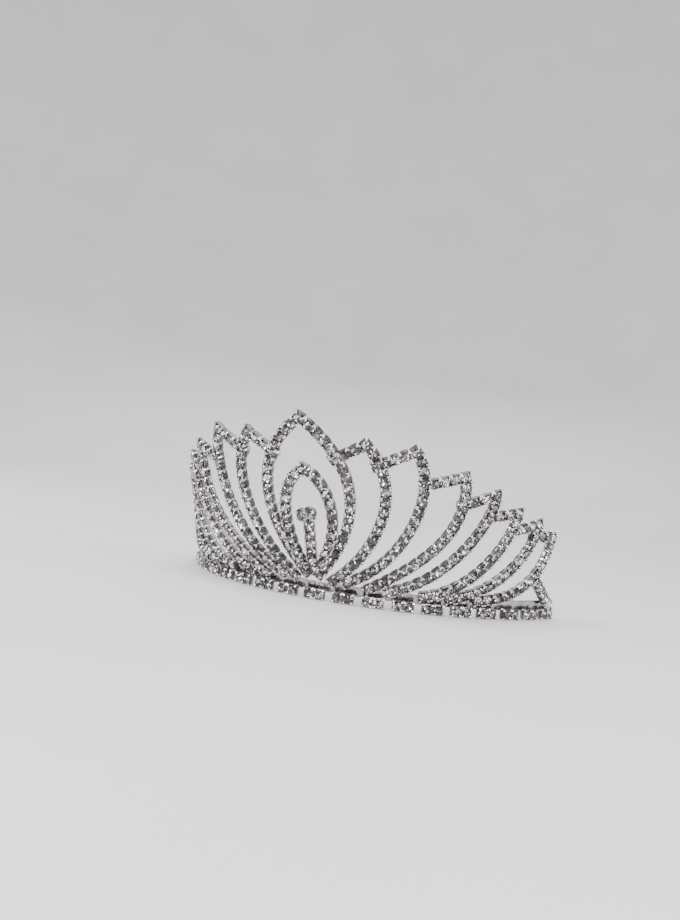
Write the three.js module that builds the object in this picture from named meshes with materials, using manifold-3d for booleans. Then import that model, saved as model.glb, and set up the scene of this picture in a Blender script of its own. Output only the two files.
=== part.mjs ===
// A rhinestone tiara: an open silver headband standing on edge, a lowest row of paired stone
// settings, a pointed double arch at the front, and seven curved rays of cup chain on each side.
// Millimetres, +Z up. The front of the tiara faces -Y, and its open back faces +Y.
// The origin is the middle of the tiara's outer box, at the level it rests on.
import * as THREE from 'three';
import { mergeVertices } from 'three/addons/utils/BufferGeometryUtils.js';
import Module from 'manifold-3d';

const wasm = await Module();
wasm.setup();

// The ring: everything lies on one leaning surface that rises from a circle of this radius.
const RING_RADIUS = 74.5;
// Outward lean of that surface, as run over rise: at the front, and its loss for each mm round the ring.
const LEAN_FRONT = 0.552;
const LEAN_LOSS = 0.00662;
// The lean starts to change softly over this length to each side of the front.
const LEAN_SOFTNESS = 20;

// Headband strip.
const BAND_HALF_LENGTH = 92.5;
const BAND_BOTTOM = 2.8;
const BAND_TOP = 6.5;
const BAND_THICKNESS = 0.8;
const BAND_SETBACK = 1.65;
const BAND_STEPS = 52;

// Cup chain: one row of square stone cups.
const CHAIN_WIDTH = 3.7;
const CHAIN_DEPTH = 2.2;
const CHAIN_PITCH = 3.6;
const GAP = 0.3;

// Lowest row: upright pairs of cups with an open gap after each pair.
const PAIR_SPACING = 9.8;
const PAIR_LENGTH = 7.4;
const PAIR_HEIGHT = 3.5;
const PAIRS_EACH_SIDE = 9;
const PAIR_BACK = 1.3;
const PAIR_STEPS = 4;

// Centre lines on the ring surface, each point as [distance round the ring, height].
// An arch is one cubic curve from its apex down to its foot.
const OUTER_ARCH = [[0, 58.8], [14.5, 44.5], [15.5, 25.5], [2, 8.9]];
const INNER_ARCH = [[0, 43.2], [6.5, 39.5], [9.7, 24.5], [3.2, 13.8]];
// A ray is one cubic curve from its tip to its foot on the band. Its link is the short straight
// piece of chain that climbs to the tip from the ray before it.
const RAYS = [
  { linkStart: [7.8, 47.4], curve: [[14.8, 52.8], [24.8, 40.1], [20.9, 19.1], [6.7, 7.6]] },
  { linkStart: [17.7, 46.8], curve: [[26.2, 52.6], [33.9, 41.4], [29, 16], [11.2, 7.6]] },
  { linkStart: [29.6, 42.6], curve: [[39.8, 46.6], [43.5, 34.5], [41.1, 21.5], [18, 6.4]] },
  { linkStart: [40.9, 37.6], curve: [[50.5, 42], [52.4, 33.2], [42.4, 11.4], [23.8, 6.1]] },
  { linkStart: [50.6, 34.9], curve: [[60.4, 36.8], [61.6, 28.5], [51.8, 9.3], [35.6, 6.1]] },
  { linkStart: [60.2, 30.9], curve: [[71.1, 33.6], [73, 26.9], [61.6, 9.2], [44.4, 6.1]] },
  { linkStart: [70.4, 29.4], curve: [[81.4, 29.8], [81.1, 19.8], [74.5, 7.8], [54.6, 6.2]] },
];
// The end brace is a straight chain from the last ray down to the end of the band.
const BRACE = [[76.6, 14.6], [86.8, 6.4]];

// Centre stem, and the head of two round cups on top of it, the left one a little lower.
const STEM = [[0, 11.2], [0, 27.5]];
const HEAD_CUPS = [[0.6, 29.1], [-2, 27.8]];
const HEAD_CUP_RADIUS = 2.3;
const HEAD_CUP_SIDES = 16;

// Wire eyes at the two ends of the band.
const EYE_RADIUS = 1.6;
const EYE_WIRE_RADIUS = 0.45;
const EYE_HEIGHT = 4.8;

const SILVER = { color: 0xc9cbd0, roughness: 0.18, metalness: 1 };
const STONE_CHAIN = { color: 0xd9d8e2, roughness: 0.12, metalness: 0.8 };

// ---- the ring surface ----

function leanAt(round) {
  return LEAN_FRONT - LEAN_LOSS * (Math.hypot(round, LEAN_SOFTNESS) - LEAN_SOFTNESS);
}

// The point at a distance round the ring and a height, moved outward by a level distance.
function ringPoint(round, height, outward = 0) {
  const turn = round / RING_RADIUS;
  const reach = RING_RADIUS + height * leanAt(round) + outward;
  return new THREE.Vector3(reach * Math.sin(turn), -reach * Math.cos(turn), height);
}

function ringNormal(round, height) {
  const step = 0.01;
  const sideways = ringPoint(round + step, height).sub(ringPoint(round - step, height));
  const upward = ringPoint(round, height + step).sub(ringPoint(round, height - step));
  return sideways.cross(upward).normalize();
}

// ---- shapes ----

// A bar made from a unit box whose x, y and z are sent through a mapping.
function mappedBox(steps, mapping) {
  const geometry = new THREE.BoxGeometry(1, 1, 1, steps, 1, 1);
  const position = geometry.attributes.position;
  for (let i = 0; i < position.count; i += 1) {
    const point = mapping(position.getX(i), position.getY(i), position.getZ(i));
    position.setXYZ(i, point.x, point.y, point.z);
  }
  geometry.deleteAttribute('normal');
  geometry.deleteAttribute('uv');
  return mergeVertices(geometry, 1e-5);
}

// A level bar that leans with the ring surface: between two distances, two heights and two depths.
function ringBar(start, end, bottom, top, back, front, steps) {
  return mappedBox(steps, (x, y, z) => ringPoint(
    THREE.MathUtils.lerp(start, end, x + 0.5),
    THREE.MathUtils.lerp(bottom, top, y + 0.5),
    THREE.MathUtils.lerp(back, front, z + 0.5),
  ));
}

// A level bar that stands upright on the ground: its reach is the one the ring surface has at its top.
function uprightBar(start, end, top, back, front, steps) {
  return mappedBox(steps, (x, y, z) => {
    const round = THREE.MathUtils.lerp(start, end, x + 0.5);
    const point = ringPoint(round, top, THREE.MathUtils.lerp(back, front, z + 0.5));
    return point.setZ(top * (y + 0.5));
  });
}

// A flat curve on the ring surface, for the right side (+1) or the left side (-1).
function flatCurve(points, side) {
  const corners = points.map(([round, height]) => new THREE.Vector2(side * round, height));
  return corners.length === 2 ? new THREE.LineCurve(...corners) : new THREE.CubicBezierCurve(...corners);
}

// The same curve with a straight run added before its start, and half a cup after its end.
function withEnds(curve, leadIn) {
  const start = curve.getPoint(0);
  const end = curve.getPoint(1);
  const before = start.clone().addScaledVector(curve.getTangent(0), -leadIn);
  const after = end.clone().addScaledVector(curve.getTangent(1), CHAIN_WIDTH / 2);
  const path = new THREE.CurvePath();
  path.add(new THREE.LineCurve(before, start));
  path.add(curve);
  path.add(new THREE.LineCurve(end, after));
  return path;
}

// A chain along a flat curve: a bar of true width and depth, square to the ring surface all the way.
function chainBar(curve, extra = 0) {
  const steps = Math.max(1, Math.round(curve.getLength() / CHAIN_PITCH));
  const width = CHAIN_WIDTH + 2 * extra;
  const depth = CHAIN_DEPTH + 2 * extra;
  return mappedBox(steps, (x, y, z) => {
    const t = x + 0.5;
    const here = curve.getPointAt(t);
    const ahead = curve.getPointAt(Math.min(t + 0.01, 1));
    const behind = curve.getPointAt(Math.max(t - 0.01, 0));
    const along = ringPoint(ahead.x, ahead.y).sub(ringPoint(behind.x, behind.y)).normalize();
    const normal = ringNormal(here.x, here.y);
    const across = normal.clone().cross(along).normalize();
    return ringPoint(here.x, here.y).addScaledVector(across, y * width).addScaledVector(normal, z * depth);
  });
}

// ---- joining and cutting ----

function solidOf(geometry) {
  const merged = mergeVertices(geometry, 1e-5);
  return new wasm.Manifold(new wasm.Mesh({
    numProp: 3,
    vertProperties: new Float32Array(merged.attributes.position.array),
    triVerts: new Uint32Array(merged.index.array),
  }));
}

function geometryOf(solid) {
  const mesh = solid.getMesh();
  const geometry = new THREE.BufferGeometry();
  geometry.setAttribute('position', new THREE.BufferAttribute(new Float32Array(mesh.vertProperties), 3));
  geometry.setIndex(new THREE.BufferAttribute(new Uint32Array(mesh.triVerts), 1));
  return geometry;
}

// The largest body left of a shape once the cutters are taken away.
function cutAway(geometry, ...cutters) {
  const rest = cutters.reduce((solid, cutter) => solid.subtract(solidOf(cutter)), solidOf(geometry));
  const bodies = rest.decompose();
  return geometryOf(bodies.reduce((best, body) => (body.volume() > best.volume() ? body : best)));
}

// Everything on the other side of the middle plane, with half a gap on this side of it.
function otherSide(side) {
  const size = 2 * RING_RADIUS;
  const box = new THREE.BoxGeometry(size, 4 * size, 2 * size);
  box.translate(side * (GAP - size) / 2, 0, 0);
  box.deleteAttribute('normal');
  box.deleteAttribute('uv');
  return box;
}

// Everything lower than the top of the lowest row, and a gap above it.
function belowFeet() {
  const size = 4 * RING_RADIUS;
  const box = new THREE.BoxGeometry(size, size, size);
  box.translate(0, 0, PAIR_HEIGHT + GAP - size / 2);
  box.deleteAttribute('normal');
  box.deleteAttribute('uv');
  return box;
}

// ---- the pieces ----

const tiara = new THREE.Group();

function addPiece(name, geometry, finish) {
  geometry.computeVertexNormals();
  const mesh = new THREE.Mesh(geometry, new THREE.MeshStandardMaterial(finish));
  mesh.name = name;
  tiara.add(mesh);
}

function addHeadband() {
  const outer = -BAND_SETBACK;
  const inner = outer - BAND_THICKNESS;
  const half = BAND_HALF_LENGTH;
  addPiece('headband', ringBar(-half, half, BAND_BOTTOM, BAND_TOP, inner, outer, BAND_STEPS), SILVER);
}

function addLowestRow() {
  for (let i = -PAIRS_EACH_SIDE; i <= PAIRS_EACH_SIDE; i += 1) {
    const start = i * PAIR_SPACING - PAIR_LENGTH / 2;
    const place = i === 0 ? 'centre' : `${i < 0 ? 'left' : 'right'}_${Math.abs(i)}`;
    const pair = uprightBar(start, start + PAIR_LENGTH, PAIR_HEIGHT, -PAIR_BACK, CHAIN_DEPTH / 2, PAIR_STEPS);
    addPiece(`lower_pair_${place}`, pair, STONE_CHAIN);
  }
}

// Two short round cups side by side.
function headCups(extra = 0) {
  const radius = HEAD_CUP_RADIUS + extra;
  return HEAD_CUPS.map(([round, height]) => {
    const turn = new THREE.Quaternion().setFromUnitVectors(new THREE.Vector3(0, 1, 0), ringNormal(round, height));
    const cup = new THREE.CylinderGeometry(radius, radius, CHAIN_DEPTH + 2 * extra, HEAD_CUP_SIDES);
    cup.deleteAttribute('normal');
    cup.deleteAttribute('uv');
    cup.applyQuaternion(turn);
    const at = ringPoint(round, height);
    return cup.translate(at.x, at.y, at.z);
  });
}

function addHead() {
  const [right, left] = headCups().map(solidOf);
  addPiece('centre_cluster', geometryOf(right.add(left)), STONE_CHAIN);
}

function addEye(sideName, side) {
  const round = side * (BAND_HALF_LENGTH + GAP + EYE_RADIUS + EYE_WIRE_RADIUS);
  const eye = new THREE.TorusGeometry(EYE_RADIUS, EYE_WIRE_RADIUS, 6, 14);
  const at = ringPoint(round, EYE_HEIGHT, -BAND_SETBACK - BAND_THICKNESS / 2);
  eye.rotateX(Math.PI / 2);
  eye.rotateZ(round / RING_RADIUS);
  eye.translate(at.x, at.y, at.z);
  eye.deleteAttribute('normal');
  eye.deleteAttribute('uv');
  addPiece(`end_eye_${sideName}`, mergeVertices(eye, 1e-4), SILVER);
}

function archPath(points, side) {
  return withEnds(flatCurve(points, side), CHAIN_WIDTH);
}

function addStem() {
  const outerClearances = [-1, 1].map((side) => chainBar(archPath(OUTER_ARCH, side), GAP));
  addPiece('centre_stem', cutAway(chainBar(flatCurve(STEM, 1)), ...outerClearances, ...headCups(GAP)), STONE_CHAIN);
}

function addSide(sideName, side) {
  const outerArch = archPath(OUTER_ARCH, side);
  const innerArch = archPath(INNER_ARCH, side);
  const outerClearance = chainBar(outerArch, GAP);
  const stemClearance = chainBar(flatCurve(STEM, 1), GAP);
  addPiece(`outer_arch_${sideName}`, cutAway(chainBar(outerArch), otherSide(side)), STONE_CHAIN);
  addPiece(
    `inner_arch_${sideName}`,
    cutAway(chainBar(innerArch), otherSide(side), outerClearance, stemClearance),
    STONE_CHAIN,
  );
  let clearanceBefore = outerClearance;
  RAYS.forEach(({ linkStart, curve }, index) => {
    const ray = withEnds(flatCurve(curve, side), CHAIN_WIDTH / 2);
    const clearance = chainBar(ray, GAP);
    const link = chainBar(flatCurve([linkStart, curve[0]], side));
    addPiece(`link_${sideName}_${index + 1}`, cutAway(link, clearanceBefore, clearance), STONE_CHAIN);
    addPiece(`ray_${sideName}_${index + 1}`, cutAway(chainBar(ray), clearanceBefore, belowFeet()), STONE_CHAIN);
    clearanceBefore = clearance;
  });
  addPiece(`end_brace_${sideName}`, cutAway(chainBar(flatCurve(BRACE, side)), clearanceBefore), STONE_CHAIN);
  addEye(sideName, side);
}

addHeadband();
addLowestRow();
addStem();
addHead();
addSide('left', -1);
addSide('right', 1);

// Bring the middle of the outer box to the origin.
const middle = new THREE.Box3().setFromObject(tiara).getCenter(new THREE.Vector3());
tiara.position.set(-middle.x, -middle.y, 0);

export default tiara;
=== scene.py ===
"""A rhinestone tiara: a silver headband with paired stones, a double front arch and rays of chain."""

import math
import random

import bpy
from mathutils import Matrix, Vector


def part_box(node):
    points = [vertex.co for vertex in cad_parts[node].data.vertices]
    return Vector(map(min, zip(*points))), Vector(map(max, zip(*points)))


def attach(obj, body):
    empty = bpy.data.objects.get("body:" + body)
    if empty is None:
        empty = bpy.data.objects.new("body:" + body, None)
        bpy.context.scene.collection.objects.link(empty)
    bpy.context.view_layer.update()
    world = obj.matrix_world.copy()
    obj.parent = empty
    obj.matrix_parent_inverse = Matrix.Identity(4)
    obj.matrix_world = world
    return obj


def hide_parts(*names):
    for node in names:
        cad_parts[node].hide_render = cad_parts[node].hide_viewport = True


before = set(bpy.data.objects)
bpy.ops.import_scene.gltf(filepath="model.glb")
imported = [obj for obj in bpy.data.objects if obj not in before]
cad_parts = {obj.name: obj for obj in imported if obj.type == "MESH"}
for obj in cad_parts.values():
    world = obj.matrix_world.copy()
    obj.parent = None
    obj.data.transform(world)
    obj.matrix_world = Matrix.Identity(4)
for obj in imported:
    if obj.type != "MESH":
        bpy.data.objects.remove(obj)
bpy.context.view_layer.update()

# One millimetre, in metres.
MM = 0.001

# ---- the ring surface, in millimetres, as in the CAD model ----
RING_RADIUS = 74.5
# How far the surface leans out for each mm of height: at the front, its loss for each mm round the
# ring, and the length over which the loss sets in.
LEAN_FRONT = 0.552
LEAN_LOSS = 0.00662
LEAN_SOFTNESS = 20.0

# ---- the headband and the wire eye at each of its ends ----
BAND_HALF_LENGTH = 92.5
BAND_BOTTOM = 2.8
BAND_TOP = 6.5
BAND_THICKNESS = 0.8
# The band's outer face stands this far behind the ring surface.
BAND_SETBACK = 1.65
BAND_STEPS = 160
BAND_CORNER = 0.32
# The band's ends are rounded off over this length, down to this share of its height.
BAND_END_LENGTH = 1.2
BAND_END_SHARE = 0.55
EYE_RADIUS = 1.6
EYE_WIRE_RADIUS = 0.45
EYE_HEIGHT = 4.8

# ---- chain, lowest row and curves, each point as (distance round the ring, height) ----
CHAIN_WIDTH = 3.7
PITCH = 3.6
PAIR_SPACING = 9.8
PAIR_LENGTH = 7.4
PAIR_HEIGHT = 3.5
PAIRS_EACH_SIDE = 9
# The cups of the lowest row are a little lower and shallower than those of the chain. Their middles
# stand above half their height by the lift, so that the prongs at their corners just clear the floor.
PAIR_CUP_WIDTH_SHARE = 0.94
PAIR_CUP_DEPTH_SHARE = 0.95
PAIR_LIFT = 0.2
OUTER_ARCH = [(0, 58.8), (14.5, 44.5), (15.5, 25.5), (2, 8.9)]
INNER_ARCH = [(0, 43.2), (6.5, 39.5), (9.7, 24.5), (3.2, 13.8)]
RAYS = [
    ((7.8, 47.4), [(14.8, 52.8), (24.8, 40.1), (20.9, 19.1), (6.7, 7.6)]),
    ((17.7, 46.8), [(26.2, 52.6), (33.9, 41.4), (29, 16), (11.2, 7.6)]),
    ((29.6, 42.6), [(39.8, 46.6), (43.5, 34.5), (41.1, 21.5), (18, 6.4)]),
    ((40.9, 37.6), [(50.5, 42), (52.4, 33.2), (42.4, 11.4), (23.8, 6.1)]),
    ((50.6, 34.9), [(60.4, 36.8), (61.6, 28.5), (51.8, 9.3), (35.6, 6.1)]),
    ((60.2, 30.9), [(71.1, 33.6), (73, 26.9), (61.6, 9.2), (44.4, 6.1)]),
    ((70.4, 29.4), [(81.4, 29.8), (81.1, 19.8), (74.5, 7.8), (54.6, 6.2)]),
]
BRACE = [(76.6, 14.6), (86.8, 6.4)]
STEM = [(0, 11.2), (0, 26.4)]
# Each head cup: distance round, height, how far it stands out, and how far it is turned to the right.
HEAD_CUPS = [(0.6, 29.1, 0.5, 8), (-2, 27.8, -0.6, -22)]
HEAD_CUP_RADIUS = 2.3
HEAD_CUP_DEPTH_SHARE = 1.1
# The inner arch's feet are soldered over the edges of their neighbours: from this share of its
# length on it rises, and its end stands this far further out.
FOOT_START = 0.65
INNER_FOOT_LIFT = 1.2
# In half chain widths: an arch's left limb starts this far after the tip, and the outer arch's feet
# end this far past their curves.
LEFT_TIP_SHORTFALL = 0.9
OUTER_FOOT_REACH = 0.8
# A link or a brace may start this far before its first point, up to the strand it joins, and a brace
# runs on past its last point.
LINK_EARLY_START = 2
BRACE_EARLY_START = 1
BRACE_OVERRUN = 0.4

# The ring's middle lies behind the frame's origin. The headband's front edge fixes it.
RING_CENTRE_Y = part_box("headband")[0][1] / MM + RING_RADIUS + BAND_TOP * LEAN_FRONT - BAND_SETBACK


def lean_at(distance):
    return LEAN_FRONT - LEAN_LOSS * (math.hypot(distance, LEAN_SOFTNESS) - LEAN_SOFTNESS)


def ring_point(distance, height, outward=0.0):
    turn = distance / RING_RADIUS
    reach = RING_RADIUS + height * lean_at(distance) + outward
    return Vector((reach * math.sin(turn), RING_CENTRE_Y - reach * math.cos(turn), height))


def ring_normal(distance, height):
    step = 0.01
    sideways = ring_point(distance + step, height) - ring_point(distance - step, height)
    upward = ring_point(distance, height + step) - ring_point(distance, height - step)
    return sideways.cross(upward).normalized()


def place_on_ring(distance, height, along, lift=0.0):
    """A frame on the surface: x along the chain, y across it, z out of the tiara."""
    out = ring_normal(distance, height)
    across = out.cross(along).normalized()
    along = across.cross(out)
    at = ring_point(distance, height) + out * lift
    return Matrix(
        (
            (along.x, across.x, out.x, at.x),
            (along.y, across.y, out.y, at.y),
            (along.z, across.z, out.z, at.z),
            (0, 0, 0, 1),
        )
    )


# ---- lines of chain ----

# Each line is cut into this many steps, over its curve and a straight reach past both ends. The reach
# is a share of the curve. Gaps between two lines are measured to every fourth point.
SAMPLES = 500
REACH_PAST_ENDS = 0.2
COARSE_STEP = 4
SEARCH_STEP = 0.05


def flat_point(points, t):
    """A point at t from 0 to 1 on a line of two points or a curve of four, and straight on past it."""
    inside = min(max(t, 0.0), 1.0)
    s = 1 - inside
    if len(points) == 2:
        weights, degree = (s, inside), 1
    else:
        weights, degree = (s**3, 3 * s * s * inside, 3 * s * inside * inside, inside**3), 3
    near, far = (points[0], points[1]) if t < 0 else (points[-2], points[-1])
    beyond = (t - inside) * degree
    on_curve = [sum(w * p[i] for w, p in zip(weights, points)) for i in (0, 1)]
    return tuple(on_curve[i] + beyond * (far[i] - near[i]) for i in (0, 1))


class Line:
    """A curve on the ring surface, on the right (+1) or the left (-1), measured in true millimetres."""

    def __init__(self, points, side):
        span = 1 + 2 * REACH_PAST_ENDS
        ts = [span * i / SAMPLES - REACH_PAST_ENDS for i in range(SAMPLES + 1)]
        self.flat = [(side * u, v) for u, v in (flat_point(points, t) for t in ts)]
        self.solid = [ring_point(*p) for p in self.flat]
        self.run = [0.0]
        for a, b in zip(self.solid, self.solid[1:]):
            self.run.append(self.run[-1] + (b - a).length)
        # The samples at the curve's own two ends.
        edge = round(SAMPLES * REACH_PAST_ENDS / span)
        self.first, self.last = self.run[edge], self.run[SAMPLES - edge]
        self.body = self.solid[edge : SAMPLES - edge + 1 : COARSE_STEP]

    def place(self, target, lift=0.0):
        i = next(i for i in range(SAMPLES) if self.run[i + 1] >= target)
        share = (target - self.run[i]) / (self.run[i + 1] - self.run[i])
        u, v = (a + share * (b - a) for a, b in zip(self.flat[i], self.flat[i + 1]))
        return place_on_ring(u, v, (self.solid[i + 1] - self.solid[i]).normalized(), lift)

    def distance_to(self, other, target):
        at = self.place(target).translation
        return min((at - p).length for p in other.body)

    def clear_of(self, other, target, step):
        """The first place, in steps from target, that is half a chain's width off another line."""
        while self.distance_to(other, target) < CHAIN_WIDTH / 2:
            target += step
        return target

    def cups(self, start, end, foot_lift=0.0):
        """Touching cups that fill the run between two true distances."""
        count = max(1, round((end - start) / PITCH))
        step = (end - start) / count
        fit = Matrix.Diagonal((step / PITCH, 1, 1, 1))
        places = []
        for k in range(count):
            share = (k + 0.5) / count
            lift = foot_lift * max(0.0, (share - FOOT_START) / (1 - FOOT_START))
            places.append(self.place(start + (k + 0.5) * step, lift) @ fit)
        return places


# ---- mesh helpers ----


def rounded_square(half, corner, steps=3):
    """Points of a square with rounded corners, anticlockwise."""
    points = []
    for quarter in range(4):
        base = quarter * math.pi / 2
        for k in range(steps + 1):
            angle = base + k * math.pi / 2 / steps
            centre = Matrix.Rotation(base, 2) @ Vector((half - corner, half - corner))
            points.append((centre.x + corner * math.cos(angle), centre.y + corner * math.sin(angle)))
    return points


class Template:
    """Vertices and faces in millimetres, with a material number for each face."""

    def __init__(self):
        self.points, self.faces, self.slots = [], [], []

    def skin(self, rings, loop=False, slot=0):
        """Faces that join equal rings of points in turn, as a loop or with a face over each end."""
        n = len(rings[0])
        first = len(self.points)
        for ring in rings:
            self.points += [Vector(p) for p in ring]
        new = []
        for level in range(len(rings) if loop else len(rings) - 1):
            low = first + level * n
            high = first + (level + 1) % len(rings) * n
            new += [(low + i, low + (i + 1) % n, high + (i + 1) % n, high + i) for i in range(n)]
        if not loop:
            new.append(tuple(reversed(range(first, first + n))))
            new.append(tuple(range(first + (len(rings) - 1) * n, first + len(rings) * n)))
        self.faces += new
        self.slots += [slot] * len(new)


# ---- one stone cup: x along the chain, z = 0 the middle of the chain's depth ----

CUP_HALF = 1.785
CUP_BACK = -1.3
CUP_RIM = 0.40
CUP_SEAT = -0.85
CUP_SEAT_HALF = 1.05
PRONG_TOP = 1.2
# The corner's share of a cup's half width, and how far out its prongs stand.
SQUARE_CORNER, SQUARE_PRONG_REACH = 0.44, 2.44
ROUND_CORNER, ROUND_PRONG_REACH = 0.92, 1.82
TAB_HALF_WIDTH = 0.6
TAB_HALF_LENGTH = 0.5
STONE_RADIUS = 1.62
GIRDLE_HEIGHT = 0.72
GIRDLE_HALF = 0.05
TABLE_HEIGHT = 1.34
TABLE_SHARE = 0.54
# The back facets turn flatter at this share of the radius, this far below the girdle.
BACK_SHARE = 0.60
BACK_DROP = 0.70
STONE_DEPTH = 1.24
MAIN_FACETS = 8


def cup_template(corner_share, prong_reach):
    """A sheet-metal cup with flat walls, an open seat and four prongs folded over the stone."""
    cup = Template()
    # half width, height: up the outside of the wall, over the rim and down to the seat
    profile = [
        (1.46, CUP_BACK),
        (1.62, CUP_BACK + 0.05),
        (1.74, CUP_BACK + 0.20),
        (CUP_HALF, CUP_BACK + 0.42),
        (CUP_HALF, CUP_RIM - 0.12),
        (CUP_HALF - 0.05, CUP_RIM),
        (CUP_HALF - 0.16, CUP_RIM + 0.02),
        (CUP_HALF - 0.24, CUP_RIM - 0.08),
        (CUP_SEAT_HALF, CUP_SEAT),
    ]
    cup.skin([[(x, y, z) for x, y in rounded_square(half, half * corner_share)] for half, z in profile])
    eighths = [math.pi * k / 4 for k in range(8)]
    for quarter in range(4):
        turn = Matrix.Rotation(math.pi / 4 + quarter * math.pi / 2, 4, "Z")
        # distance out from the middle, half width, half depth, height: up the prong and over the stone
        path = [
            (prong_reach - 0.02, 0.36, 0.16, CUP_RIM - 0.9),
            (prong_reach + 0.06, 0.40, 0.20, CUP_RIM - 0.2),
            (prong_reach, 0.38, 0.22, CUP_RIM + 0.2),
            (prong_reach - 0.26, 0.34, 0.20, PRONG_TOP - 0.12),
            (prong_reach - 0.56, 0.26, 0.16, PRONG_TOP),
            (prong_reach - 0.80, 0.15, 0.10, PRONG_TOP - 0.05),
        ]
        rings = []
        for out, wide, deep, high in path:
            outline = [Vector((out + deep * math.cos(a), wide * math.sin(a), high)) for a in eighths]
            rings.append([turn @ p for p in outline])
        cup.skin(rings, slot=1)
    return cup


def tab_template():
    """The small metal tab that bridges a cup and the next one behind the walls."""
    tab = Template()
    low = CUP_BACK + 0.15
    high = CUP_BACK + 0.4
    wide = TAB_HALF_WIDTH
    section = [(-wide, low), (wide, low), (wide, high), (-wide, high)]
    ends = (PITCH / 2 - TAB_HALF_LENGTH, PITCH / 2 + TAB_HALF_LENGTH)
    tab.skin([[(x, y, z) for y, z in section] for x in ends])
    return tab


def circle(radius, height, count, turn=0.0):
    """Points of a level circle, anticlockwise from the angle turn."""
    angles = (turn + 2 * math.pi * k / count for k in range(count))
    return [Vector((radius * math.cos(a), radius * math.sin(a), height)) for a in angles]


def stone_template():
    """A round stone: a flat table, sloping facets round it, a thin girdle and a pointed back."""
    stone = Template()
    mains = MAIN_FACETS
    sides = 2 * mains
    stone.points = circle(STONE_RADIUS * TABLE_SHARE, TABLE_HEIGHT, mains)
    stone.points += circle(STONE_RADIUS, GIRDLE_HEIGHT + GIRDLE_HALF, sides)
    stone.points += circle(STONE_RADIUS, GIRDLE_HEIGHT - GIRDLE_HALF, sides)
    stone.points += circle(STONE_RADIUS * BACK_SHARE, GIRDLE_HEIGHT - BACK_DROP, mains, math.pi / mains)
    stone.points.append(Vector((0, 0, GIRDLE_HEIGHT - STONE_DEPTH)))
    # The first point of each circle in turn, from the table to the tip at the back.
    top = 0
    upper = top + mains
    lower = upper + sides
    back = lower + sides
    tip = back + mains
    crown = [tuple(range(mains))]
    behind = []
    for i in range(mains):
        nxt = (i + 1) % mains
        a, b, c = 2 * i, 2 * i + 1, (2 * i + 2) % sides
        crown.append((top + i, upper + a, upper + b))
        crown.append((top + i, upper + b, top + nxt))
        crown.append((top + nxt, upper + b, upper + c))
        crown.append((upper + a, lower + a, lower + b, upper + b))
        crown.append((upper + b, lower + b, lower + c, upper + c))
        behind.append((lower + a, back + i, lower + b))
        behind.append((lower + b, back + i, lower + c))
        behind.append((lower + c, back + i, back + nxt))
        behind.append((back + i, tip, back + nxt))
    stone.faces = crown + behind
    stone.slots = [0] * len(crown) + [1] * len(behind)
    return stone


SQUARE_CUP = cup_template(SQUARE_CORNER, SQUARE_PRONG_REACH)
ROUND_CUP = cup_template(ROUND_CORNER, ROUND_PRONG_REACH)
TAB = tab_template()
STONE = stone_template()
SEED = 11
chance = random.Random(SEED)
# Edges sharper than these angles, in degrees, stay crisp in the shading.
CUP_CRISP_ANGLE = 35
STRIP_CRISP_ANGLE = 40


def mesh_object(name, stamps, materials, crisp_angle=None):
    """One object from (template, frame in mm) stamps. Each face gets a random value of its own, from
    which the foil paints reflections.
    """
    points, faces, slots = [], [], []
    for template, place in stamps:
        first = len(points)
        points += [(place @ p) * MM for p in template.points]
        faces += [tuple(first + i for i in face) for face in template.faces]
        slots += template.slots
    mesh = bpy.data.meshes.new(name)
    mesh.from_pydata(points, [], faces)
    for material in materials:
        mesh.materials.append(material)
    mesh.polygons.foreach_set("material_index", slots)
    # A random value for each face, which the foil turns into painted reflections and glints.
    painted_reflection = mesh.attributes.new("facet_painted_reflection", "FLOAT", "FACE")
    painted_reflection.data.foreach_set("value", [chance.random() for _ in faces])
    if crisp_angle is not None:
        mesh.shade_smooth()
        mesh.set_sharp_from_angle(angle=math.radians(crisp_angle))
    mesh.update()
    piece = bpy.data.objects.new(name, mesh)
    bpy.context.scene.collection.objects.link(piece)
    return piece


# ---- materials ----

# Most of a noise texture's values lie between these two.
NOISE_LOW = 0.3
NOISE_HIGH = 0.7
# Noise scales, in features for each metre.
PATCH_SCALE = 260
GRAIN_SCALE = 2600
GRAIN_BUMP_STRENGTH = 0.25
GRAIN_BUMP_METRES = 0.00002
TINT_SCALE = 150
FOIL_PATCH_SCALE = 900
MOTTLE_SCALE = 9
CRYSTAL_IOR = 1.62


def new_material(name):
    """A new material with its nodes, its links and its main shader."""
    material = bpy.data.materials.new(name)
    material.use_nodes = True
    nodes = material.node_tree.nodes
    links = material.node_tree.links
    return material, nodes, links, nodes["Principled BSDF"]


def noise(nodes, links, scale, detail, stretch=(1, 1, 1)):
    """A noise texture fixed to the object."""
    coordinates = nodes.new("ShaderNodeTexCoord")
    mapping = nodes.new("ShaderNodeMapping")
    mapping.inputs["Scale"].default_value = stretch
    texture = nodes.new("ShaderNodeTexNoise")
    texture.inputs["Scale"].default_value = scale
    texture.inputs["Detail"].default_value = detail
    links.new(coordinates.outputs["Object"], mapping.inputs["Vector"])
    links.new(mapping.outputs["Vector"], texture.inputs["Vector"])
    return texture.outputs["Fac"]


def ramp(nodes, links, value, stops):
    """A colour that follows a value through (value, colour) stops."""
    node = nodes.new("ShaderNodeValToRGB")
    links.new(value, node.inputs["Fac"])
    while len(node.color_ramp.elements) < len(stops):
        node.color_ramp.elements.new(0.5)
    for element, (place, colour) in zip(node.color_ramp.elements, stops):
        element.position = place
        element.color = (*colour, 1)
    return node.outputs["Color"]


def spread(nodes, links, value, low, high):
    """A noise value stretched to run from low to high."""
    node = nodes.new("ShaderNodeMapRange")
    node.inputs["From Min"].default_value = NOISE_LOW
    node.inputs["From Max"].default_value = NOISE_HIGH
    node.inputs["To Min"].default_value = low
    node.inputs["To Max"].default_value = high
    links.new(value, node.inputs["Value"])
    return node.outputs["Result"]


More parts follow.
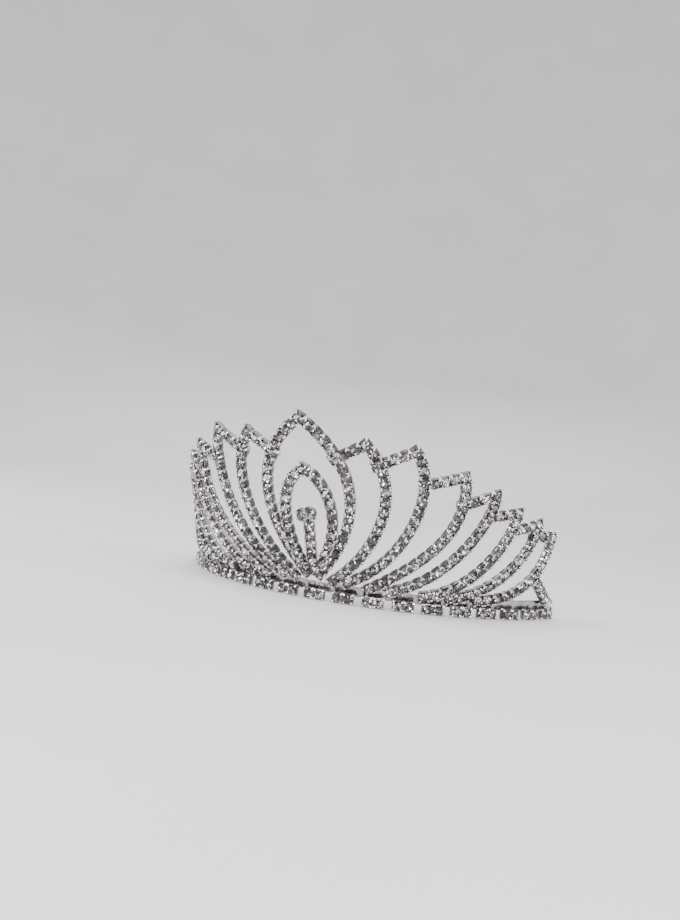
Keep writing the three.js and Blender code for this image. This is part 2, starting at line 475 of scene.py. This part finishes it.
def bump(nodes, links, shader, value, strength, distance):
    node = nodes.new("ShaderNodeBump")
    node.inputs["Strength"].default_value = strength
    node.inputs["Distance"].default_value = distance
    links.new(value, node.inputs["Height"])
    links.new(node.outputs["Normal"], shader.inputs["Normal"])


def silver_material(name, base, shade, low, high, grain):
    """Silver plate: slightly patchy colour and polish, and a fine grain."""
    material, nodes, links, shader = new_material(name)
    patches = noise(nodes, links, PATCH_SCALE, 4)
    fine = noise(nodes, links, GRAIN_SCALE, 3, grain)
    links.new(ramp(nodes, links, patches, [(0.36, shade), (0.62, base)]), shader.inputs["Base Color"])
    links.new(spread(nodes, links, fine, low, high), shader.inputs["Roughness"])
    shader.inputs["Metallic"].default_value = 1.0
    bump(nodes, links, shader, fine, GRAIN_BUMP_STRENGTH, GRAIN_BUMP_METRES)
    return material


def crystal_material():
    """Clear glass with a faint tint that drifts from stone to stone."""
    material, nodes, links, shader = new_material("clear_crystal")
    tint = noise(nodes, links, TINT_SCALE, 1)
    colours = [(0.30, (0.95, 0.91, 1.0)), (0.5, (1.0, 0.98, 0.99)), (0.70, (1.0, 0.96, 0.90))]
    links.new(ramp(nodes, links, tint, colours), shader.inputs["Base Color"])
    shader.inputs["Roughness"].default_value = 0.01
    shader.inputs["Transmission Weight"].default_value = 1.0
    shader.inputs["IOR"].default_value = CRYSTAL_IOR
    return material


def foil_material():
    """Mirror foil behind a stone, with painted reflections: each facet has its own colour, from near
    black painted shade to a cool near white painted glint.
    """
    material, nodes, links, shader = new_material("stone_foil_painted_reflections")
    painted_reflection = nodes.new("ShaderNodeAttribute")
    painted_reflection.attribute_name = "facet_painted_reflection"
    # Painted reflections on the foil: dark facets are painted shade, light ones painted glints, some warm
    # and some cool.
    colours = [
        (0.0, (0.015, 0.012, 0.014)),
        (0.40, (0.06, 0.05, 0.055)),
        (0.60, (0.28, 0.24, 0.25)),
        (0.74, (0.75, 0.67, 0.67)),
        (0.86, (1.0, 0.95, 0.88)),
        (1.0, (0.90, 0.96, 1.0)),
    ]
    links.new(ramp(nodes, links, painted_reflection.outputs["Fac"], colours), shader.inputs["Base Color"])
    patches = noise(nodes, links, FOIL_PATCH_SCALE, 2)
    links.new(spread(nodes, links, patches, 0.04, 0.14), shader.inputs["Roughness"])
    shader.inputs["Metallic"].default_value = 1.0
    return material


EVEN_GRAIN = (1, 1, 1)
LEVEL_GRAIN = (0.2, 0.2, 3)
# Each silver's colour and darker patches, its lowest and highest roughness, and its grain.
# Cups and prongs are one silver plate. The cups' dark colour is painted shade, and the prongs' light
# colour is a painted highlight.
cup_silver_painted_shade = silver_material("cup_silver_painted_shade", (0.27, 0.25, 0.25), (0.13, 0.12, 0.12), 0.16, 0.34, EVEN_GRAIN)
prong_silver_painted_highlight = silver_material(
    "prong_silver_painted_highlight", (0.85, 0.82, 0.81), (0.52, 0.50, 0.50), 0.08, 0.22, EVEN_GRAIN
)
band_silver = silver_material(
    "band_silver", (0.50, 0.48, 0.48), (0.35, 0.33, 0.34), 0.05, 0.16, LEVEL_GRAIN
)
crystal = crystal_material()
foil = foil_material()


# ---- the pieces ----


def add_chain(name, places, cup=SQUARE_CUP, tabs=True):
    """Cups and stones for one length of chain, standing for the CAD node of that name."""
    metal = [(cup, place) for place in places]
    if tabs:
        metal += [(TAB, place) for place in places[:-1]]
    cups = mesh_object(f"{name}_cups", metal, [cup_silver_painted_shade, prong_silver_painted_highlight], CUP_CRISP_ANGLE)
    # Each stone sits in its cup at its own angle. An eighth of a turn brings the facets round again.
    turned = [place @ Matrix.Rotation(chance.uniform(0, math.pi / 4), 4, "Z") for place in places]
    stones = mesh_object(f"{name}_stones", [(STONE, place) for place in turned], [crystal, foil])
    for piece in (cups, stones):
        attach(piece, "root")
    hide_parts(name)


def add_lowest_row():
    """Pairs of slightly lower cups, upright in front of the band."""
    fit = Matrix.Diagonal((PAIR_LENGTH / 2 / PITCH, PAIR_CUP_WIDTH_SHARE, PAIR_CUP_DEPTH_SHARE, 1))
    upright = Matrix.Rotation(math.radians(90), 4, "X") @ fit
    for i in range(-PAIRS_EACH_SIDE, PAIRS_EACH_SIDE + 1):
        where = "centre" if i == 0 else f"{'left' if i < 0 else 'right'}_{abs(i)}"
        places = []
        for half in (-0.5, 0.5):
            distance = i * PAIR_SPACING + half * PAIR_LENGTH / 2
            at = ring_point(distance, PAIR_HEIGHT)
            at.z = PAIR_HEIGHT / 2 + PAIR_LIFT
            turn = Matrix.Rotation(distance / RING_RADIUS, 4, "Z")
            places.append(Matrix.Translation(at) @ turn @ upright)
        add_chain(f"lower_pair_{where}", places)


def add_band():
    """The flat headband with softly rounded edges, swept round the ring, its two ends rounded off."""
    corner_steps = 3
    half_high = (BAND_TOP - BAND_BOTTOM) / 2
    half_thick = BAND_THICKNESS / 2
    section = []
    for quarter in range(4):
        sx = 1 if quarter in (0, 3) else -1
        sy = 1 if quarter in (0, 1) else -1
        for k in range(corner_steps + 1):
            angle = (quarter + k / corner_steps) * math.pi / 2
            x = sx * (half_thick - BAND_CORNER) + BAND_CORNER * math.cos(angle)
            y = sy * (half_high - BAND_CORNER) + BAND_CORNER * math.sin(angle)
            section.append((x, y))
    middle = (BAND_TOP + BAND_BOTTOM) / 2
    inward = BAND_SETBACK + half_thick
    rings = []
    for k in range(BAND_STEPS + 1):
        distance = BAND_HALF_LENGTH * (2 * k / BAND_STEPS - 1)
        into_end = max(0.0, abs(distance) - BAND_HALF_LENGTH + BAND_END_LENGTH) / BAND_END_LENGTH
        shrink = BAND_END_SHARE + (1 - BAND_END_SHARE) * math.sqrt(max(0.0, 1 - into_end**2))
        rings.append([ring_point(distance, middle + y * shrink, x - inward) for x, y in section])
    band = Template()
    band.skin(rings)
    piece = mesh_object("headband_strip", [(band, Matrix())], [band_silver], STRIP_CRISP_ANGLE)
    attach(piece, "root")
    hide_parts("headband")


def add_eye(side_name, side):
    """A closed wire eye soldered to the end of the band."""
    loop_steps = 40
    wire_steps = 12
    distance = side * (BAND_HALF_LENGTH + EYE_RADIUS + EYE_WIRE_RADIUS / 2)
    centre = ring_point(distance, EYE_HEIGHT, -BAND_SETBACK - BAND_THICKNESS / 2)
    turn = Matrix.Rotation(distance / RING_RADIUS, 3, "Z")
    rings = []
    for k in range(loop_steps):
        a = 2 * math.pi * k / loop_steps
        spoke = Vector((math.cos(a), 0, math.sin(a)))
        ring = []
        for j in range(wire_steps):
            b = 2 * math.pi * j / wire_steps
            offset = spoke * (EYE_RADIUS + EYE_WIRE_RADIUS * math.cos(b))
            offset.y = EYE_WIRE_RADIUS * math.sin(b)
            ring.append(centre + turn @ offset)
        rings.append(ring)
    eye = Template()
    eye.skin(rings, loop=True)
    name = f"end_eye_{side_name}_wire"
    piece = mesh_object(name, [(eye, Matrix())], [band_silver], STRIP_CRISP_ANGLE)
    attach(piece, "root")
    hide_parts(f"end_eye_{side_name}")


def add_side(side_name, side):
    """One side's limbs of the two arches, its rays with their links, its brace and its eye."""
    half = CHAIN_WIDTH / 2
    # The right limb of each arch carries the stone at the tip, and the left limb starts beside it.
    outer = Line(OUTER_ARCH, side)
    inner = Line(INNER_ARCH, side)
    at_tip = -half if side > 0 else half * LEFT_TIP_SHORTFALL
    outer_cups = outer.cups(outer.first + at_tip, outer.last + half * OUTER_FOOT_REACH)
    inner_cups = inner.cups(inner.first + at_tip, inner.last + half, INNER_FOOT_LIFT)
    add_chain(f"outer_arch_{side_name}", outer_cups)
    add_chain(f"inner_arch_{side_name}", inner_cups)
    before = outer
    for number, (link_start, curve) in enumerate(RAYS, 1):
        ray = Line(curve, side)
        add_chain(f"ray_{side_name}_{number}", ray.cups(ray.first - half, ray.last + half))
        link = Line([link_start, curve[0]], side)
        start = link.clear_of(before, link.first - LINK_EARLY_START, SEARCH_STEP)
        end = link.clear_of(ray, link.last, -SEARCH_STEP)
        add_chain(f"link_{side_name}_{number}", link.cups(start, end))
        before = ray
    brace = Line(BRACE, side)
    start = brace.clear_of(before, brace.first - BRACE_EARLY_START, SEARCH_STEP)
    add_chain(f"end_brace_{side_name}", brace.cups(start, brace.last + BRACE_OVERRUN))
    add_eye(side_name, side)


def add_head():
    """Two larger round stone cups side by side on the stem, the left one set back and turned away."""
    size = HEAD_CUP_RADIUS / CUP_HALF
    fit = Matrix.Diagonal((size, size, HEAD_CUP_DEPTH_SHARE, 1))
    step = 0.1
    places = []
    for distance, height, lift, turn in HEAD_CUPS:
        level = (ring_point(distance + step, height) - ring_point(distance - step, height)).normalized()
        place = place_on_ring(distance, height, level, lift)
        places.append(place @ Matrix.Rotation(math.radians(turn), 4, "Y") @ fit)
    add_chain("centre_cluster", places, ROUND_CUP, tabs=False)


add_band()
add_lowest_row()
add_side("left", -1)
add_side("right", 1)
stem = Line(STEM, 1)
add_chain("centre_stem", stem.cups(stem.first, stem.last))
add_head()


# ---- camera, floor and light, in metres, watts and degrees ----

SENSOR_MM = 36
LENS_MM = 39.1
CAMERA_TURN = 20.76
CAMERA_TILT = -0.46
CAMERA_ROLL = -7.04
# Right of, in front of and above the band's front, in the turned camera's own directions.
CAMERA_OFFSET = (0.0082, -0.3349, 0.0465)
FLOOR_FLAT = 0.7
FLOOR_CURVE = 1.3
WALL_TOP = 2.1
FLOOR_SIDES = 96
SPARKLE_REACH = 0.75
SPARKLE_ANGLE = 75
SPARKLE_SIZE = 0.11
SPARKLE_POWER = 1.8
# Each row of sparkle lamps: height, count, and its shift along the row in lamps.
SPARKLE_ROWS = ((0.16, 6, 0.0), (0.62, 5, 0.5))
SPARKLE_TINTS = ((1, 1, 1), (0.78, 0.88, 1.0), (1.0, 0.89, 0.72))
WORLD_COLOUR = (0.78, 0.80, 0.84, 1)
WORLD_STRENGTH = 0.07


def add_camera():
    """A low view from the right of the front, leaning seven degrees."""
    camera = bpy.data.objects.new("camera", bpy.data.cameras.new("camera"))
    camera.data.sensor_width = SENSOR_MM
    camera.data.lens = LENS_MM
    camera.data.clip_start = 0.01
    turn = Matrix.Rotation(math.radians(CAMERA_TURN), 4, "Z")
    turn = turn @ Matrix.Rotation(math.radians(CAMERA_TILT), 4, "X")
    turn = turn @ Matrix.Rotation(math.radians(CAMERA_ROLL), 4, "Y")
    front = Vector((0, (RING_CENTRE_Y - RING_RADIUS) * MM, 0))
    place = front + turn @ Vector(CAMERA_OFFSET)
    camera.matrix_world = Matrix.Translation(place) @ turn @ Matrix.Rotation(math.radians(90), 4, "X")
    bpy.context.scene.collection.objects.link(camera)
    bpy.context.scene.camera = camera


def add_floor():
    """A wide pale floor that curves up all round into a plain wall, as one sheet."""
    flat_steps = 4
    curve_steps = 24
    outline = [(FLOOR_FLAT * k / flat_steps, 0.0) for k in range(1, flat_steps)]
    for k in range(curve_steps + 1):
        a = math.pi / 2 * k / curve_steps
        outward, upward = math.sin(a), 1 - math.cos(a)
        outline.append((FLOOR_FLAT + FLOOR_CURVE * outward, FLOOR_CURVE * upward))
    outline.append((FLOOR_FLAT + FLOOR_CURVE, WALL_TOP))
    around = FLOOR_SIDES
    points = [(0.0, 0.0, 0.0)]
    for reach, height in outline:
        points += [tuple(p) for p in circle(reach, height, around)]
    faces = [(0, 1 + k, 1 + (k + 1) % around) for k in range(around)]
    for level in range(len(outline) - 1):
        low = 1 + level * around
        for k in range(around):
            nxt = (k + 1) % around
            faces.append((low + k, low + around + k, low + around + nxt, low + nxt))
    mesh = bpy.data.meshes.new("studio_floor")
    mesh.from_pydata(points, [], faces)
    mesh.shade_smooth()
    material, nodes, links, shader = new_material("pale_floor")
    mottle = noise(nodes, links, MOTTLE_SCALE, 3)
    colours = [(0.3, (0.60, 0.60, 0.61)), (0.7, (0.64, 0.64, 0.65))]
    links.new(ramp(nodes, links, mottle, colours), shader.inputs["Base Color"])
    shader.inputs["Roughness"].default_value = 0.75
    mesh.materials.append(material)
    floor = bpy.data.objects.new("studio_floor", mesh)
    bpy.context.scene.collection.objects.link(floor)


def add_light(name, place, target, size, power, colour=(1, 1, 1)):
    """A square area lamp at a place, facing a target."""
    light = bpy.data.lights.new(name, "AREA")
    light.shape = "SQUARE"
    light.size = size
    light.energy = power
    light.color = colour
    lamp = bpy.data.objects.new(name, light)
    lamp.location = place
    lamp.rotation_euler = (Vector(target) - Vector(place)).to_track_quat("-Z", "Y").to_euler()
    bpy.context.scene.collection.objects.link(lamp)


def add_lights():
    """Large soft lamps all round, small ones for the sparkle, and a faint even light from the world."""
    middle = (0, 0, 0.03)
    add_light("key", (-0.55, -0.75, 0.75), middle, 0.35, 6, (1.0, 0.98, 0.95))
    add_light("side", (0.95, -0.35, 0.45), middle, 0.30, 5, (0.93, 0.95, 1.0))
    add_light("back", (-0.3, 1.0, 0.7), middle, 0.4, 5)
    add_light("ceiling", (0, 0, 2.0), (0, 0.001, 0), 2.4, 48)
    # Small lamps in two rows round the front, neutral, cool and warm in turn, make the stones sparkle.
    for row, (height, count, shift) in enumerate(SPARKLE_ROWS):
        for k in range(count):
            turn = math.radians(SPARKLE_ANGLE * (2 * (k + shift) / (count - 1 + 2 * shift) - 1))
            place = (SPARKLE_REACH * math.sin(turn), -SPARKLE_REACH * math.cos(turn), height)
            tint = SPARKLE_TINTS[k % len(SPARKLE_TINTS)]
            add_light(f"sparkle_{row}_{k}", place, middle, SPARKLE_SIZE, SPARKLE_POWER, tint)
    world = bpy.data.worlds.new("studio_world")
    world.use_nodes = True
    world.node_tree.nodes["Background"].inputs["Color"].default_value = WORLD_COLOUR
    world.node_tree.nodes["Background"].inputs["Strength"].default_value = WORLD_STRENGTH
    bpy.context.scene.world = world


add_camera()
add_floor()
add_lights()
